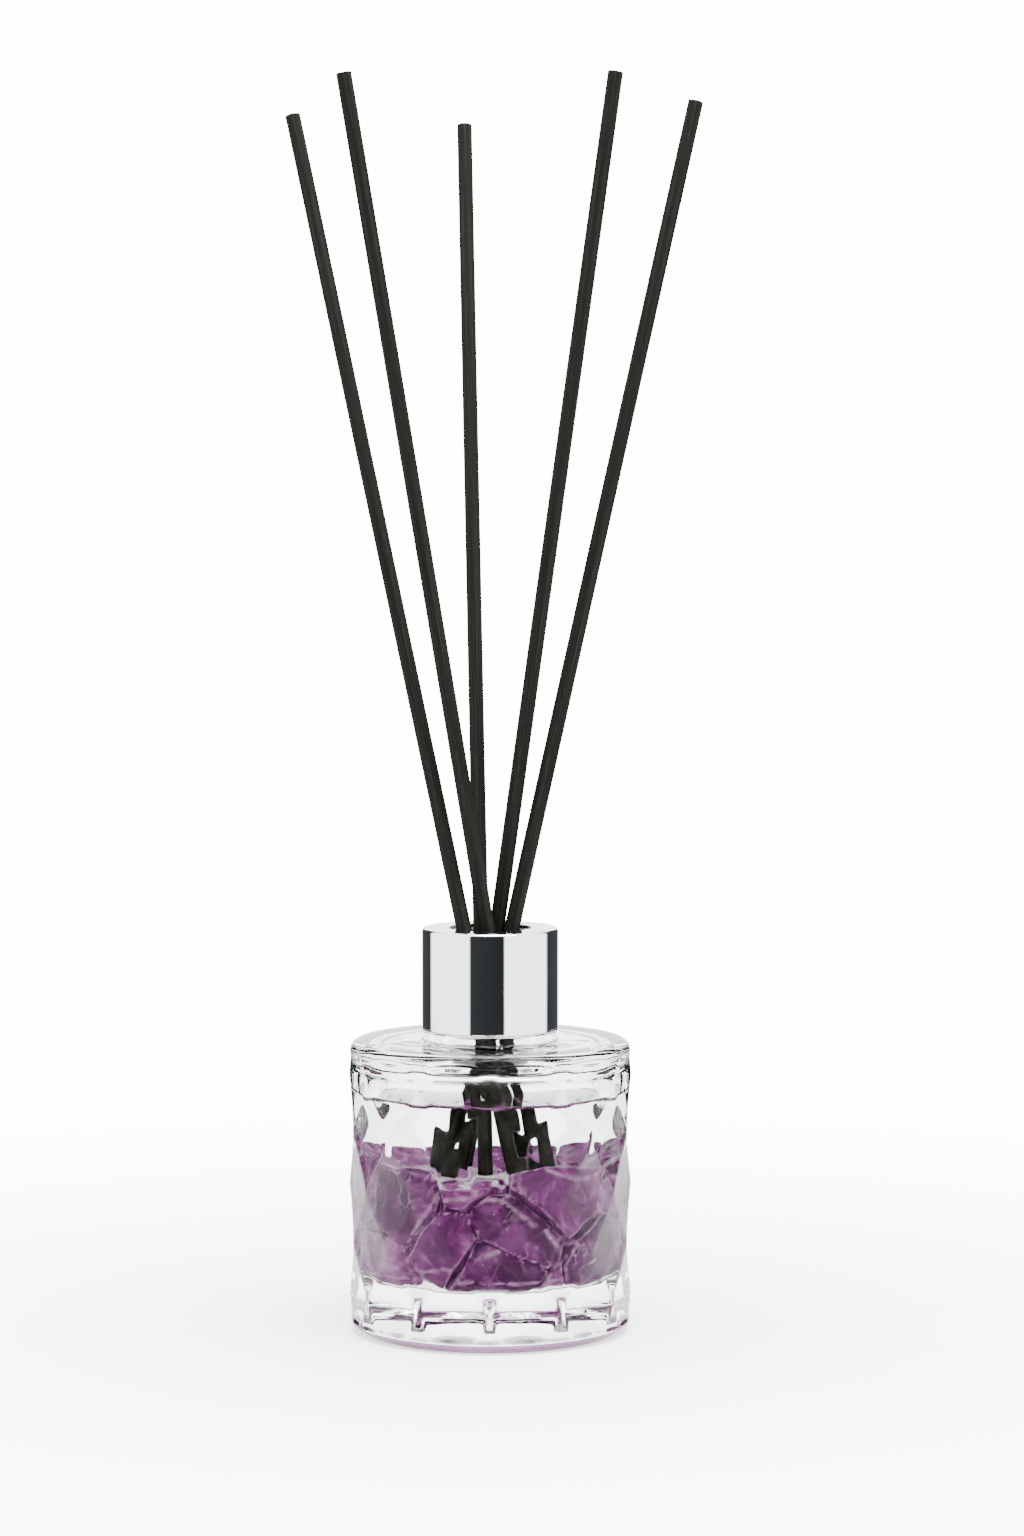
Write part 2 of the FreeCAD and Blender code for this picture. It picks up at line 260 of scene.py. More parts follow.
def new_material(name):
    material = bpy.data.materials.new(name)
    material.use_nodes = True
    return material, Nodes(material.node_tree)


class Nodes:
    """Short names for adding and joining the nodes of one material or of the surroundings."""

    def __init__(self, tree):
        self.tree = tree
        self.shader = tree.nodes.get("Principled BSDF")
        self.output = tree.nodes.get("Material Output")

    def add(self, kind, **settings):
        node = self.tree.nodes.new(kind)
        for key, value in settings.items():
            setattr(node, key, value)
        return node

    def join(self, source, target):
        self.tree.links.new(source, target)

    def fill(self, node, **values):
        for key, value in values.items():
            node.inputs[key.replace("_", " ")].default_value = value
        return node

    def place(self, scale=(1, 1, 1), uv=False):
        """Object coordinates, or the piece's own map, stretched by scale."""
        source = self.add("ShaderNodeTexCoord")
        mapping = self.add("ShaderNodeMapping")
        mapping.inputs["Scale"].default_value = scale
        self.join(source.outputs["UV" if uv else "Object"], mapping.inputs["Vector"])
        return mapping.outputs["Vector"]

    def noise(self, place, scale, detail=4.0, roughness=0.55, distortion=0.0):
        node = self.add("ShaderNodeTexNoise")
        self.fill(node, Scale=scale, Detail=detail, Roughness=roughness, Distortion=distortion)
        self.join(place, node.inputs["Vector"])
        return node.outputs["Fac"]

    def cells(self, place, scale, feature="F1", randomness=1.0):
        node = self.add("ShaderNodeTexVoronoi", feature=feature)
        self.fill(node, Scale=scale, Randomness=randomness)
        self.join(place, node.inputs["Vector"])
        return node.outputs["Distance"]

    def ramp(self, value, *stops):
        """A colour ramp; each stop is (position, colour)."""
        node = self.add("ShaderNodeValToRGB")
        points = node.color_ramp.elements
        while len(points) < len(stops):
            points.new(0.5)
        for point, (position, colour) in zip(points, stops):
            point.position = position
            point.color = (*colour, 1)
        self.join(value, node.inputs["Fac"])
        return node.outputs["Color"]

    def span(self, value, low, high, to_low, to_high):
        node = self.add("ShaderNodeMapRange")
        self.fill(node, From_Min=low, From_Max=high, To_Min=to_low, To_Max=to_high)
        self.join(value, node.inputs["Value"])
        return node.outputs["Result"]

    def math(self, operation, a, b):
        node = self.add("ShaderNodeMath", operation=operation)
        for slot, value in zip(node.inputs, (a, b)):
            if isinstance(value, (int, float)):
                slot.default_value = value
            else:
                self.join(value, slot)
        return node.outputs["Value"]

    def mix(self, share, first, second, blend="MIX"):
        node = self.add("ShaderNodeMix", data_type="RGBA", blend_type=blend)
        for key, value in (("Factor", share), ("A", first), ("B", second)):
            slot = [s for s in node.inputs if s.name == key and s.type in ("VALUE", "RGBA")]
            slot = slot[-1] if key != "Factor" else slot[0]
            if isinstance(value, (int, float)):
                slot.default_value = value
            elif isinstance(value, tuple):
                slot.default_value = (*value, 1)
            else:
                self.join(value, slot)
        return [s for s in node.outputs if s.type == "RGBA"][0]

    def bump(self, height, strength, distance, after=None):
        node = self.add("ShaderNodeBump")
        self.fill(node, Strength=strength, Distance=distance)
        self.join(height, node.inputs["Height"])
        if after:
            self.join(after, node.inputs["Normal"])
        return node.outputs["Normal"]


def bottle_glass(name, mirroring, tint=(0.965, 0.982, 0.975)):
    """Clear moulded glass, very faintly grey-green, with the slow waver of a mould's wall.

    mirroring is how much of glass's usual mirroring the surface has: none where oil wets it.
    tint is what a crossing of the surface leaves of light: the glass's own faint grey-green, and at
    the foot a dark purple that is a painted reflection of the stones.
    """
    material, n = new_material(name)
    n.fill(n.shader, Roughness=0.0, IOR=1.5)
    n.shader.inputs["Specular Tint"].default_value = (mirroring, mirroring, mirroring, 1)
    n.shader.inputs["Transmission Weight"].default_value = 1.0
    n.shader.inputs["Base Color"].default_value = (*tint, 1)
    waver = n.noise(n.place(), 90.0, 2.0, 0.45)
    n.join(n.bump(waver, 0.12, 0.0012), n.shader.inputs["Normal"])
    return material


def clear_oil():
    """Scented oil: clear, with a trace of warmth."""
    material, n = new_material("clear_scented_oil")
    n.fill(n.shader, Roughness=0.0, IOR=1.44)
    n.shader.inputs["Specular Tint"].default_value = (0, 0, 0, 1)
    n.shader.inputs["Transmission Weight"].default_value = 1.0
    n.shader.inputs["Base Color"].default_value = (0.995, 0.99, 0.985, 1)
    swirl = n.noise(n.place((1, 1, 0.4)), 60.0, 2.0, 0.5, 0.6)
    n.join(n.bump(swirl, 0.05, 0.0006), n.shader.inputs["Normal"])
    return material


def amethyst(index, share):
    """Broken amethyst: cloudy purple zones, pale veins and specks, a painted highlight along its
    edges, and a painted glow in its own colour.

    share runs from 0, the deepest stones, to 1, the palest.
    """
    material, n = new_material("amethyst_%s" % index)
    place = n.place()
    zones = n.noise(place, 130.0 + 60.0 * share, 5.0, 0.62, 0.9)
    deep = (0.030 + 0.045 * share, 0.003 + 0.008 * share, 0.029 + 0.040 * share)
    middle = (0.069 + 0.092 * share, 0.008 + 0.026 * share, 0.062 + 0.078 * share)
    pale = (0.22 + 0.16 * share, 0.060 + 0.10 * share, 0.20 + 0.14 * share)
    colour = n.ramp(zones, (0.34, deep), (0.52, middle), (0.76, pale))
    bent = n.mix(0.012, place, n.noise(place, 160.0, 3.0), "ADD")
    cracks = n.cells(bent, 170.0, "DISTANCE_TO_EDGE")
    veil = n.span(cracks, 0.0, 0.030, 1.0, 0.0)
    patchy = n.span(n.noise(place, 95.0, 2.0), 0.5, 0.68, 0.0, 0.5)
    veil = n.math("MULTIPLY", veil, patchy)
    colour = n.mix(veil, colour, (0.42, 0.29, 0.40))
    specks = n.span(n.cells(place, 900.0), 0.10, 0.20, 1.0, 0.0)
    specks = n.math("MULTIPLY", specks, n.span(zones, 0.5, 0.6, 0.0, 0.7))
    colour = n.mix(specks, colour, (0.50, 0.37, 0.48))
    # painted highlight: a pale purple laid patchily along the chips' sharp edges
    edge_highlight_share = n.add("ShaderNodeAttribute", attribute_name="edge_highlight_mask").outputs["Fac"]
    painted_edge_highlight = n.math("MULTIPLY", edge_highlight_share, n.span(n.noise(place, 500.0, 4.0), 0.35, 0.6, 0.25, 1.0))
    colour = n.mix(painted_edge_highlight, colour, (0.36, 0.20, 0.33))
    n.join(colour, n.shader.inputs["Base Color"])
    # painted glow: the stones' colour is also given off as emission, standing in for light inside them
    n.join(colour, n.shader.inputs["Emission Color"])
    n.shader.inputs["Emission Strength"].default_value = PAINTED_STONE_GLOW
    n.fill(n.shader, IOR=1.12)
    n.shader.inputs["Transmission Weight"].default_value = 0.25
    n.shader.inputs["Subsurface Weight"].default_value = 0.5
    n.shader.inputs["Subsurface Radius"].default_value = (1.0, 0.35, 1.0)
    n.shader.inputs["Subsurface Scale"].default_value = 0.003
    chips = n.noise(place, 420.0, 6.0, 0.65)
    n.join(n.span(chips, 0.3, 0.7, 0.05, 0.32), n.shader.inputs["Roughness"])
    facets = n.cells(place, 260.0, "SMOOTH_F1")
    first = n.bump(facets, 0.55, 0.0012)
    n.join(n.bump(chips, 0.35, 0.0004, first), n.shader.inputs["Normal"])
    return material


def chrome():
    """Bright chrome plate with faint wipe marks."""
    material, n = new_material("bright_chrome_plate")
    n.fill(n.shader, Metallic=1.0)
    streaks = n.noise(n.place((1, 1, 0.05)), 900.0, 3.0, 0.6)
    clouds = n.noise(n.place(), 70.0, 3.0, 0.5)
    n.join(n.span(n.math("ADD", streaks, clouds), 0.7, 1.3, 0.02, 0.065), n.shader.inputs["Roughness"])
    n.join(n.ramp(clouds, (0.3, (0.80, 0.815, 0.835)), (0.7, (0.88, 0.885, 0.89))),
           n.shader.inputs["Base Color"])
    n.join(n.bump(clouds, 0.02, 0.0004), n.shader.inputs["Normal"])
    return material


def natural_plastic():
    """Moulded liner plastic: off-white, waxy, with a fine even grain."""
    material, n = new_material("natural_liner_plastic")
    grain = n.noise(n.place(), 1500.0, 3.0)
    shade = n.noise(n.place(), 60.0, 2.0)
    n.join(n.ramp(shade, (0.3, (0.74, 0.74, 0.71)), (0.7, (0.84, 0.84, 0.82))),
           n.shader.inputs["Base Color"])
    n.join(n.span(grain, 0.3, 0.7, 0.38, 0.55), n.shader.inputs["Roughness"])
    n.join(n.bump(grain, 0.15, 0.0001), n.shader.inputs["Normal"])
    return material


def foamed_rubber():
    """Sealing ring: pale closed-cell foam with small pores."""
    material, n = new_material("pale_sealing_foam")
    pores = n.cells(n.place(), 2600.0)
    shade = n.noise(n.place(), 240.0, 3.0)
    n.join(n.ramp(shade, (0.3, (0.62, 0.62, 0.60)), (0.7, (0.76, 0.76, 0.73))),
           n.shader.inputs["Base Color"])
    n.join(n.span(pores, 0.0, 0.5, 0.85, 0.6), n.shader.inputs["Roughness"])
    n.join(n.bump(pores, 0.3, 0.0001), n.shader.inputs["Normal"])
    return material


def dyed_fibre():
    """Dyed black reed: packed lengthwise fibres in lighter and darker strands, with painted brown-grey
    highlights on their crests.
    """
    material, n = new_material("dyed_black_fibre")
    along = n.place((1, 1, 1), uv=True)
    strands = n.noise(n.place((2600.0, 26.0, 1.0), uv=True), 1.0, 5.0, 0.62)
    lint = n.noise(n.place((5200.0, 420.0, 1.0), uv=True), 1.0, 3.0, 0.6)
    tone = n.noise(along, 60.0, 3.0)
    fibres = n.math("ADD", n.math("MULTIPLY", strands, 0.7), n.math("MULTIPLY", lint, 0.3))
    # strand grain, and a painted highlight: the lightest stop falls where the fibres' bump stands
    # highest
    dark = n.ramp(fibres, (0.36, (0.0020, 0.0019, 0.0015)), (0.52, (0.0062, 0.0058, 0.0046)),
                  (0.70, (0.020, 0.0185, 0.0150)))
    n.join(n.mix(n.span(tone, 0.35, 0.7, 0.0, 0.5), dark, (0.0078, 0.0070, 0.0054)),
           n.shader.inputs["Base Color"])
    n.join(n.span(fibres, 0.3, 0.75, 0.78, 0.5), n.shader.inputs["Roughness"])
    n.shader.inputs["Specular IOR Level"].default_value = 0.05
    n.join(n.bump(fibres, 0.8, 0.00012), n.shader.inputs["Normal"])
    return material


# ---------------------------------------------------------------- bottle

def facet_dent(angle, height):
    """How deep the facets cut into the round body.

    The facets are a lattice of diamonds, each a sheet folded across its middle.  Over a facet the
    radius is BODY_RADIUS * (k + (1 - k) * rise) / cos(a): a is the angle from the facet's middle,
    k the cosine of its half width, and rise goes from 0 at its middle height to 1 at its tips, as
    a hyperbola, so the fold is soft.  The body is a soft least of the two nearest facets and of
    the round that takes off their tips.
    """
    soften = 0.03 * MM
    low = math.cos(FACET_HALF_WIDTH)
    across = angle / FACET_HALF_WIDTH
    up = (height - FACET_CENTRE_Z) / FACET_HALF_HEIGHT

    def sheet(row):
        off = across - row - 2 * np.round((across - row) / 2)
        soft = np.hypot(up - row, FACET_VALLEY) - FACET_VALLEY
        rise = soft / (math.hypot(1, FACET_VALLEY) - FACET_VALLEY)
        radius = BODY_RADIUS * (low + (1 - low) * rise) / np.cos(off * FACET_HALF_WIDTH)
        return np.exp((BODY_RADIUS - radius - TIP_FLAT) / soften)

    row = np.floor(up)
    return soften * np.log(1 + sheet(row) + sheet(row + 1))


def wall_waver(angle, height):
    """Slow waves of a blown wall: three low sine waves round and up the cavity."""
    u, v = angle, height / (20 * MM)
    return (0.06 * np.sin(3 * u + 1.3 * v) + 0.05 * np.sin(5 * u - 2.1 * v + 1.0)
            + 0.03 * np.sin(2 * u + 3.7 * v + 2.0)) * MM


def thread_bump(angle, height, start):
    """Height of a helical ridge over a plain wall, from 0 to 1, with faded ends.

    A point's distance to the ridge's middle line is its height less the helix's height at its
    angle, taken to the nearest turn; the ridge is a flat-topped bump on that distance.
    """
    rise = height - start - angle / TAU * THREAD_PITCH
    turn = np.clip(np.round(rise / THREAD_PITCH), 0, THREAD_TURNS)
    turn = np.where(turn + angle / TAU > THREAD_TURNS, np.maximum(turn - 1, 0), turn)
    off = np.abs(rise - turn * THREAD_PITCH)
    wound = turn + angle / TAU
    ends = ramped(wound, 0, 0.05) * (1 - ramped(wound, THREAD_TURNS - 0.05, THREAD_TURNS))
    return (1 - ramped(off, 0.40 * MM, 0.85 * MM)) * ends


def make_bottle(glass, wetted, foot):
    """The whole glass skin: foot, faceted side, shoulder, neck, lip, bore and cavity in one.

    One profile runs from under the base up the outside, over the lip and down the inside, and is
    carried round the axis.  Its radius loses the facets' dent on the side, gains the thread on the
    neck and waves slowly in the cavity.  Faces under the oil's level have their own finish, and
    faces at the foot carry a painted reflection of the stones as a dark purple tint.
    """
    side = BODY_RADIUS
    step = FACET_HALF_HEIGHT / FACET_STEPS
    side_foot = FACET_CENTRE_Z - STEPS_DOWN * step
    side_head = FACET_CENTRE_Z + STEPS_UP * step
    outside = rounded([
        (POLE, PUNT_HEIGHT, 0),
        (PUNT_RADIUS / 2, PUNT_HEIGHT * 0.75, 30 * MM),
        (PUNT_RADIUS, 0.0, 3 * MM),
        (side - FOOT_INSET, 0.0, 1.0 * MM),
        (side, FOOT_CHAMFER, 1.2 * MM),
        (side, side_foot, 0),
        (side, side_head, 0),
        (side, BODY_HEIGHT - 0.1 * MM, 2.6 * MM),
        (side - 9 * MM, BODY_HEIGHT, 20 * MM),
        (BEAD_RADIUS, BODY_HEIGHT + 0.1 * MM, 0.5 * MM),
        (BEAD_RADIUS, BODY_HEIGHT + BEAD_HEIGHT, 0.5 * MM),
        (NECK_RADIUS, BODY_HEIGHT + BEAD_HEIGHT, 0.4 * MM),
        (NECK_RADIUS, NECK_TOP, 0.7 * MM),
        (NECK_BORE, NECK_TOP, 0.7 * MM),
        (NECK_BORE, CAVITY_CEILING, 1.2 * MM),
        (CAVITY_RADIUS, CAVITY_CEILING, 4.0 * MM),
        (CAVITY_RADIUS, CAVITY_FLOOR, 3.0 * MM),
        (POLE, CAVITY_FLOOR, 0),
    ], steps=5)
    middle = (outside[1:] + outside[:-1]) / 2
    on_side = middle[:, 0] > side - 0.01 * MM
    on_neck = (np.abs(middle[:, 0] - NECK_RADIUS) < 0.01 * MM) & (middle[:, 1] > BODY_HEIGHT)
    path = refined(outside, np.where(on_side, step * 1.001, np.where(on_neck, 0.6 * MM, 2 * MM)))
    radius, angle, height = turned(path, 2 * FACETS_AROUND * FACET_STEPS)
    turn_in = int(np.argmax(path[:, 1] >= NECK_TOP - 1e-9))
    row = np.arange(len(path))[:, None]
    outer = (row < turn_in) & (radius > BEAD_RADIUS + MM)
    body = ramped(height, *FACETS_FADE_IN) * (1 - ramped(height, *FACETS_FADE_OUT))
    facets = facet_dent(angle, height) * body
    neck = (row < turn_in) & (radius < BEAD_RADIUS - MM) & (height > THREAD_ABOVE)
    inner = (row > turn_in) & (radius > WAVER_BEYOND)
    radius = radius - np.where(outer, facets, 0)
    radius = radius + np.where(neck, thread_bump(angle, height, THREAD_START) * THREAD_HEIGHT, 0)
    radius = radius + np.where(inner, wall_waver(angle, height), 0)
    piece = skin("bottle_glass", round_points(radius, angle, height))
    settle(piece, "bottle", "bottle_glass", glass, "glass_bottle")
    piece.data.materials.append(wetted)
    piece.data.materials.append(foot)
    columns = radius.shape[1]
    band = np.arange(len(path) - 1)
    under_oil = (band > turn_in) & (path[:-1, 1] < OIL_LEVEL)
    # painted reflection: faces at the foot take the dark purple glass that stands in for the stones
    # seen there
    painted_reflection_at_foot = (band < turn_in) & (path[1:, 1] < PAINTED_FOOT_REFLECTION_HEIGHT)
    painted_reflection_at_foot &= path[1:, 0] > side - PAINTED_FOOT_REFLECTION_WIDTH
    sides = np.repeat(under_oil * 1 + painted_reflection_at_foot * 2, columns)
    # after the bands come the fan under the base, which is clear, and the cavity floor's, wetted
    finish = np.concatenate([sides, np.repeat([0, 1], columns)])
    piece.data.polygons.foreach_set("material_index", finish.astype(np.int32))


def make_oil(material):
    """The oil's skin: just outside the cavity's wall, with a meniscus climbing at its edge."""
    wall = CAVITY_RADIUS + OIL_SOAK
    path = rounded([
        (POLE, CAVITY_FLOOR - OIL_SOAK, 0),
        (wall, CAVITY_FLOOR - OIL_SOAK, 3.0 * MM),
        (wall, OIL_LEVEL + OIL_CLIMB, 0),
        (CAVITY_RADIUS - 0.25 * MM, OIL_LEVEL + OIL_CLIMB * 0.55, 1.5 * MM),
        (CAVITY_RADIUS - 2.4 * MM, OIL_LEVEL, 3.0 * MM),
        (POLE, OIL_LEVEL, 0),
    ], steps=10)
    path = refined(path, 1.0 * MM)
    radius, angle, height = turned(path, 240)
    near_wall = ramped(radius, CAVITY_RADIUS - 3 * MM, CAVITY_RADIUS - 0.5 * MM)
    radius = radius + wall_waver(angle, height) * near_wall
    piece = skin("oil_fill", round_points(radius, angle, height))
    return settle(piece, "bottle", "oil_clear", material, "fragrance_oil")


# ---------------------------------------------------------------- collar

def ring_piece(name, corners, step, columns, bump=None):
    """A ring: a closed profile carried round the axis, with an optional change of radius."""
    path = refined(rounded(corners + corners[:1], steps=8), step)[:-1]
    radius, angle, height = turned(path, columns)
    if bump is not None:
        radius = radius + bump(radius, angle, height)
    return skin(name, round_points(radius, angle, height), loop=True)


def make_shell(material):
    low, high = SHELL[0].z, SHELL[1].z
    middle = (COLLAR_RADIUS + COLLAR_HOLE) / 2
    piece = ring_piece("collar_chrome", [
        (middle, high, 0),
        (COLLAR_HOLE, high, 0.35 * MM),
        (COLLAR_HOLE, high - SHELL_TOP, 0.2 * MM),
        (COLLAR_RADIUS - SHELL_WALL, high - SHELL_TOP, 0.2 * MM),
        (COLLAR_RADIUS - SHELL_WALL, low, 0.15 * MM),
        (COLLAR_RADIUS, low, 0.2 * MM),
        (COLLAR_RADIUS, high, 0.75 * MM),
    ], 0.8 * MM, 360)
    return settle(piece, "collar", "collar_chrome", material, "collar_shell")


def make_liner(material):
    low, high = LINER[0].z, LINER[1].z
    outer = LINER[1].x - 0.02 * MM
    seat = SEAL[1].z

    def thread(radius, angle, height):
        inside = (radius < LINER_BORE + 0.1 * MM) & (height < seat - 0.5 * MM)
        ridge = thread_bump(angle, height, THREAD_START - THREAD_PITCH / 2)
        return np.where(inside, -ridge * THREAD_HEIGHT, 0)

    piece = ring_piece("collar_liner_moulding", [
        ((outer + COLLAR_HOLE) / 2, high - 0.02 * MM, 0),
        (COLLAR_HOLE + 0.05 * MM, high - 0.02 * MM, 0.2 * MM),
        (COLLAR_HOLE + 0.05 * MM, seat, 0.2 * MM),
        (LINER_BORE, seat, 0.3 * MM),
        (LINER_BORE, low, 0.4 * MM),
        (outer, low, 0.3 * MM),
        (outer, high - 0.02 * MM, 0.3 * MM),
    ], 0.45 * MM, 240, thread)
    return settle(piece, "collar", "liner_plastic", material, "collar_liner")


def make_seal(material):
    low, high = SEAL[0].z, SEAL[1].z

    def ripple(radius, angle, height):
        return 0.03 * MM * np.sin(9 * angle) * ramped(radius, 11 * MM, SEAL_RADIUS)

    piece = ring_piece("sealing_foam_ring", [
        ((SEAL_RADIUS + NECK_BORE) / 2, low, 0),
        (SEAL_RADIUS - 0.03 * MM, low, 0.25 * MM),
        (SEAL_RADIUS - 0.03 * MM, high, 0.25 * MM),
        (NECK_BORE, high, 0.25 * MM),
        (NECK_BORE, low, 0.25 * MM),
    ], 0.3 * MM, 180, ripple)
    return settle(piece, "seal", "seal_rubber", material, "sealing_ring")


# ---------------------------------------------------------------- reeds

def make_reed(number, material):
    """A straight stick on its CAD line: rings along the line, grooved by strands that run its length.

    The radius is the stick's less a sum of fine waves round it, which drift slowly along it, and
    the two ends are cut flat with a hair of a round.
    """
    node = "reed_%d" % number
    places = cad_places(node)
    low = places[places[:, 2] < places[:, 2].mean()].mean(0)
    high = places[places[:, 2] > places[:, 2].mean()].mean(0)
    along = (high - low) / np.linalg.norm(high - low)
    reach = (places - low) @ along
    start, end = reach.min(), reach.max()
    chance = np.random.default_rng(40 + number)
    path = refined(rounded([
        (0.03 * MM, start, 0),
        (REED_RADIUS, start, 0.12 * MM),
        (REED_RADIUS, end, 0.12 * MM),
        (0.03 * MM, end, 0),
    ], steps=4), 1.6 * MM)
    radius, angle, station = turned(path, 72)
    grooves = np.zeros_like(radius)
    for waves in (5, 9, 14, 23, 31):
        drift = chance.uniform(-6, 6) * np.sin(station / 0.05 + chance.uniform(0, TAU))
        grooves += np.sin(waves * angle + drift + chance.uniform(0, TAU)) / waves ** 0.5
    radius = radius * (1 - 0.012 * (grooves - grooves.min()) / np.ptp(grooves))
    across = np.cross(along, [0, 1, 0])
    across /= np.linalg.norm(across)
    other = np.cross(along, across)
    points = (low + station[..., None] * along + (radius * np.cos(angle))[..., None] * across
              + (radius * np.sin(angle))[..., None] * other)
    piece = skin("reed_stick_%d" % number, points, uv=(TAU * REED_RADIUS, end - start))
    return settle(piece, node, "reed_fibre", material, node)


# ---------------------------------------------------------------- amethyst

def chip_planes(node):
    """The flat sides of a chip: outward unit normals and their distances along them."""
    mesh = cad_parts[node].data
    mesh.calc_loop_triangles()
    places = cad_places(node)
    corners = np.empty(len(mesh.loop_triangles) * 3, np.int32)
    mesh.loop_triangles.foreach_get("vertices", corners)
    a, b, c = (places[corners.reshape(-1, 3)[:, k]] for k in range(3))
    normal = np.cross(b - a, c - a)
    size = np.linalg.norm(normal, axis=1)
    keep = size > 1e-10
    normal = normal[keep] / size[keep, None]
    limit = np.einsum("ij,ij->i", normal, a[keep])
    whole = np.unique(np.round(np.column_stack([normal * 200, limit * 2e5])), axis=0)
    normal = whole[:, :3] / np.linalg.norm(whole[:, :3], axis=1)[:, None]
    return normal, whole[:, 3] / 2e5, places


def make_chip(node, material):
    """A broken chip that follows its CAD solid, with sides standing out by CHIP_SWELL.

    Along each direction from the middle, the distance is a soft least of the distances to the
    flat sides, so edges are slightly rounded, less shallow shell-like scoops: each scoop takes
    most at its own direction and nothing beyond its width.  An edge carries a painted highlight
    where the two nearest flat sides are almost equally far and meet at a real angle.
    """
    normal, limit, places = chip_planes(node)
    number = int(node.split("_")[-1])
    chance = np.random.default_rng(900 + number)
    middle = (places.min(0) + places.max(0)) / 2
    rows, columns = 56, 96
    polar = np.linspace(0.02, math.pi - 0.02, rows)[:, None]
    angle = (np.arange(columns) / columns * TAU)[None]
    way = np.stack([np.sin(polar) * np.cos(angle), np.sin(polar) * np.sin(angle),
                    np.cos(polar) * np.ones_like(angle)], axis=-1)
    facing = np.einsum("ijk,nk->ijn", way, normal)
    room = limit + CHIP_SWELL - normal @ middle
    near = np.maximum(facing, 1e-4) / np.maximum(room, 1e-5)
    reach = (near ** CHIP_SHARPNESS).sum(-1) ** (-1 / CHIP_SHARPNESS)
    for _ in range(CHIP_SCOOPS):
        aim = chance.normal(size=3)
        aim /= np.linalg.norm(aim)
        width = chance.uniform(0.25, 0.5)
        depth = chance.uniform(0.02, 0.06)
        off = np.arccos(np.clip(way @ aim, -1, 1)) / width
        reach = reach * (1 - depth * np.clip(1 - off ** 2, 0, 1))
    points = middle + way * reach[..., None]
    piece = skin("chip_" + node.split("_")[-1], points)
    order = np.argsort(near, axis=-1)
    first, second = order[..., -1], order[..., -2]
    tie = (np.take_along_axis(near, second[..., None], -1)
           / np.take_along_axis(near, first[..., None], -1))[..., 0]
    bend = np.einsum("ijk,ijk->ij", normal[first], normal[second])
    # where the painted edge highlight goes: two flat sides almost equally near, meeting at a real
    # angle
    edge = ramped(tie, 0.93, 0.99) * (bend < 0.9)
    edge_highlight_layer = piece.data.attributes.new("edge_highlight_mask", "FLOAT", "POINT")
    edge_highlight_layer.data.foreach_set("value", np.append(edge.ravel(), [0, 0]).astype(np.float32))
    return settle(piece, "bottle", "amethyst_stone", material, node)


# ---------------------------------------------------------------- studio and camera

def make_floor():
    """A pale floor round the object that fades into the white surroundings further out."""
    reach = 3.0
    corners = [(-reach, -reach), (reach, -reach), (reach, reach), (-reach, reach)]
    mesh = bpy.data.meshes.new("studio_floor")
    mesh.from_pydata([(x, y, -0.02 * MM) for x, y in corners], [], [(0, 1, 2, 3)])
    floor = bpy.data.objects.new("studio_floor", mesh)
    bpy.context.scene.collection.objects.link(floor)
    material, n = new_material("pale_floor")
    n.shader.inputs["Roughness"].default_value = 0.6
    n.shader.inputs["Base Color"].default_value = (0.93, 0.93, 0.93, 1)
    n.shader.inputs["Emission Color"].default_value = (1, 1, 1, 1)
    n.shader.inputs["Emission Strength"].default_value = FLOOR_GLOW
    gradient = n.add("ShaderNodeTexGradient", gradient_type="SPHERICAL")
    n.join(n.place((FADE, FADE, FADE)), gradient.inputs["Vector"])
    far = n.span(gradient.outputs["Fac"], 0.1, 0.9, 1.0, 0.0)
    glow = n.add("ShaderNodeEmission")
    glow.inputs["Strength"].default_value = BACKDROP_LIGHT
    through = n.add("ShaderNodeBsdfTransparent")
    path = n.add("ShaderNodeLightPath")
    beyond = n.add("ShaderNodeMixShader")
    n.join(path.outputs["Is Camera Ray"], beyond.inputs["Fac"])
    n.join(through.outputs["BSDF"], beyond.inputs[1])
    n.join(glow.outputs["Emission"], beyond.inputs[2])
    blend = n.add("ShaderNodeMixShader")
    n.join(far, blend.inputs["Fac"])
    n.join(n.shader.outputs["BSDF"], blend.inputs[1])
    n.join(beyond.outputs["Shader"], blend.inputs[2])
    n.join(blend.outputs["Shader"], n.output.inputs["Surface"])
    floor.data.materials.append(material)


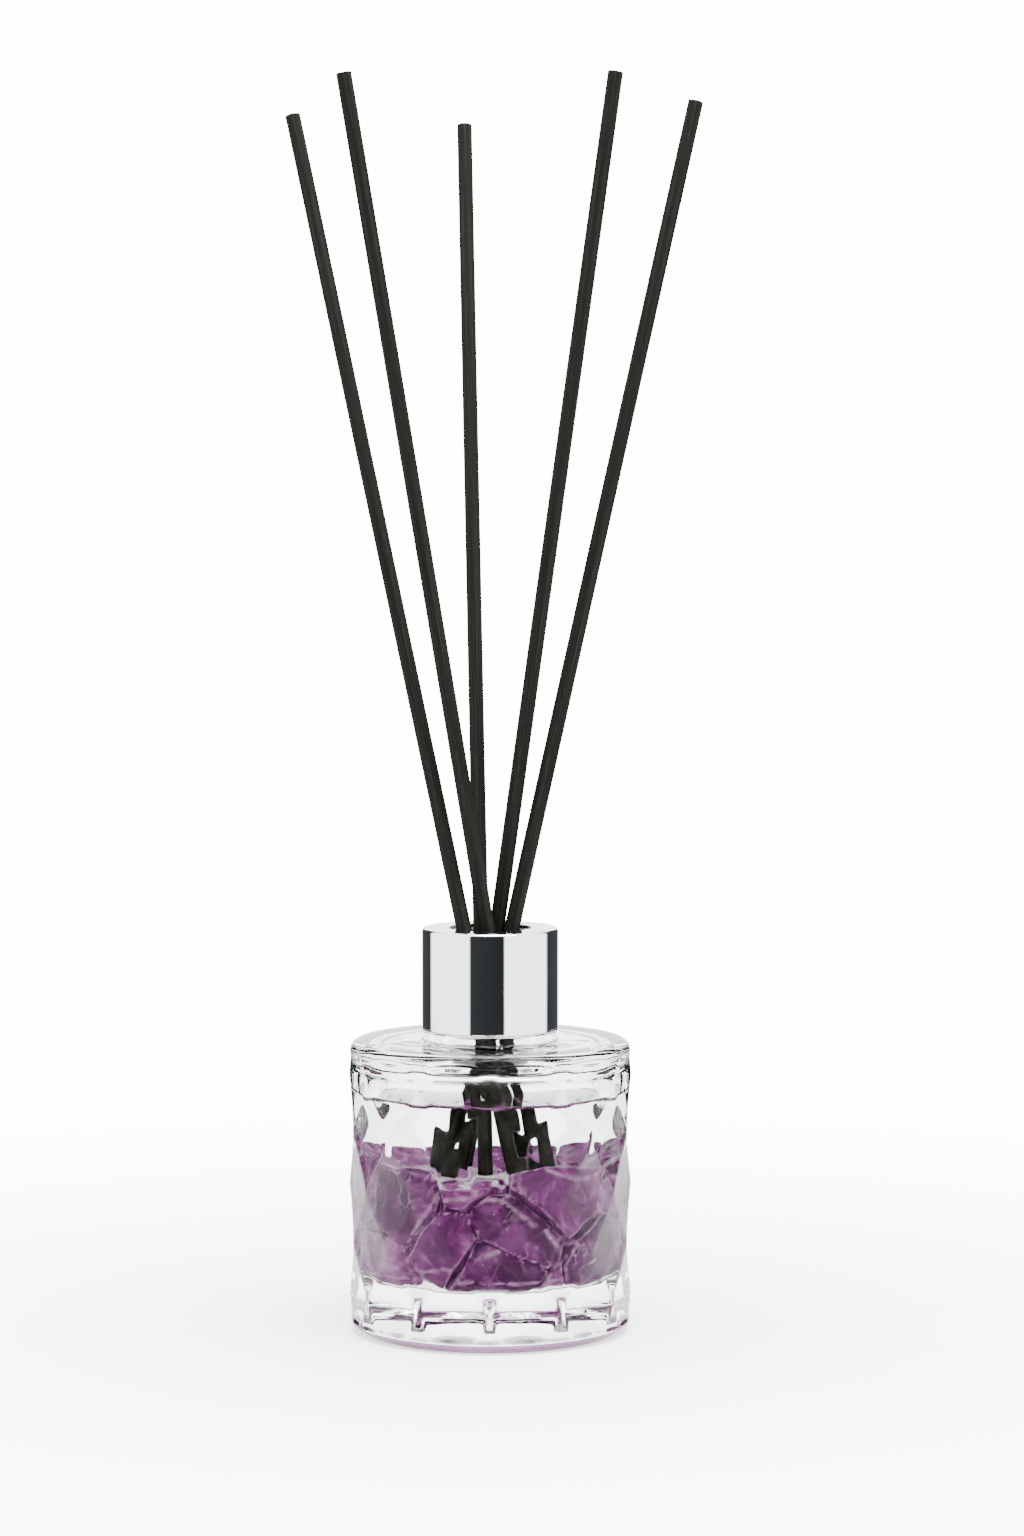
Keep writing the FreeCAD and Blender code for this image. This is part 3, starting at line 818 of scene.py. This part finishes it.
def make_world():
    """White surroundings with dark flags in front and at both back sides.

    The flags are the stretches of angle where the ramp is dark; overhead it is white all round.
    Light that comes through clear pieces meets paler flags and a brighter white, and the camera
    itself sees plain white.
    """
    world = bpy.data.worlds.new("studio")
    bpy.context.scene.world = world
    world.use_nodes = True
    world.node_tree.nodes.clear()
    n = Nodes(world.node_tree)
    way = n.add("ShaderNodeSeparateXYZ")
    n.join(n.add("ShaderNodeTexCoord").outputs["Generated"], way.inputs["Vector"])
    angle = n.math("ARCTAN2", way.outputs["X"], n.math("MULTIPLY", way.outputs["Y"], -1.0))
    turn = n.span(angle, -math.pi, math.pi, 0.0, 1.0)
    stops = []
    for degrees, value in FLAGS:
        cool = 1.0 if value > 0.5 else 1.1
        cooler = 1.0 if value > 0.5 else 1.2
        stops.append(((degrees + 180) / 360, (value, value * cool, value * cooler)))
    flags = n.ramp(turn, *stops)
    path = n.add("ShaderNodeLightPath")
    through = path.outputs["Is Transmission Ray"]
    overhead = n.span(way.outputs["Z"], 0.45, 0.8, 0.0, 1.0)
    white = n.math("MAXIMUM", overhead, n.math("MULTIPLY", through, PALER_THROUGH_GLASS))
    studio = n.add("ShaderNodeBackground")
    n.join(n.mix(white, flags, (1.0, 1.0, 1.0)), studio.inputs["Color"])
    more = n.math("MULTIPLY", through, LIGHT_THROUGH_GLASS - STUDIO_LIGHT)
    n.join(n.math("ADD", more, STUDIO_LIGHT), studio.inputs["Strength"])
    plain = n.fill(n.add("ShaderNodeBackground"), Color=(1, 1, 1, 1), Strength=BACKDROP_LIGHT)
    choose = n.add("ShaderNodeMixShader")
    n.join(path.outputs["Is Camera Ray"], choose.inputs["Fac"])
    n.join(studio.outputs["Background"], choose.inputs[1])
    n.join(plain.outputs["Background"], choose.inputs[2])
    n.join(choose.outputs["Shader"], n.add("ShaderNodeOutputWorld").inputs["Surface"])


def make_light(name, place, aim, size, power):
    lamp = bpy.data.lights.new(name, "AREA")
    lamp.shape = "RECTANGLE"
    lamp.size, lamp.size_y = size
    lamp.energy = power
    holder = bpy.data.objects.new(name, lamp)
    holder.location = place
    holder.rotation_euler = (Vector(aim) - Vector(place)).to_track_quat("-Z", "Y").to_euler()
    bpy.context.scene.collection.objects.link(holder)


def make_camera():
    """A long lens a little above the collar, tipped slightly down."""
    lens = bpy.data.cameras.new("studio_camera")
    lens.sensor_width = 36.0
    lens.lens = CAMERA_LENS
    lens.clip_start = 0.05
    camera = bpy.data.objects.new("studio_camera", lens)
    camera.location = CAMERA_PLACE
    camera.rotation_euler = (math.pi / 2 - CAMERA_DIP, 0, 0)
    bpy.context.scene.collection.objects.link(camera)
    bpy.context.scene.camera = camera


# ---------------------------------------------------------------- the whole

make_camera()
make_world()
make_floor()
make_light("soft_top", (0.1, -0.25, 0.9), (0, 0, 0.06), (0.7, 0.5), 25.0)

# the foot glass's dark purple tint is a painted reflection of the stones
make_bottle(bottle_glass("moulded_clear_glass", 0.06), bottle_glass("oil_wetted_glass", 0.0),
            bottle_glass("foot_glass_painted_stone_reflection", 0.06, (0.06, 0.010, 0.055)))
make_oil(clear_oil())
make_shell(chrome())
make_liner(natural_plastic())
make_seal(foamed_rubber())
reed_material = dyed_fibre()
for number in range(1, 6):
    make_reed(number, reed_material)
stones = [amethyst("deep", 0.0), amethyst("middle", 0.45), amethyst("pale", 1.0)]
for index, node in enumerate(sorted(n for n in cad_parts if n.startswith("amethyst_"))):
    make_chip(node, stones[(index * 7) % 5 % 3])
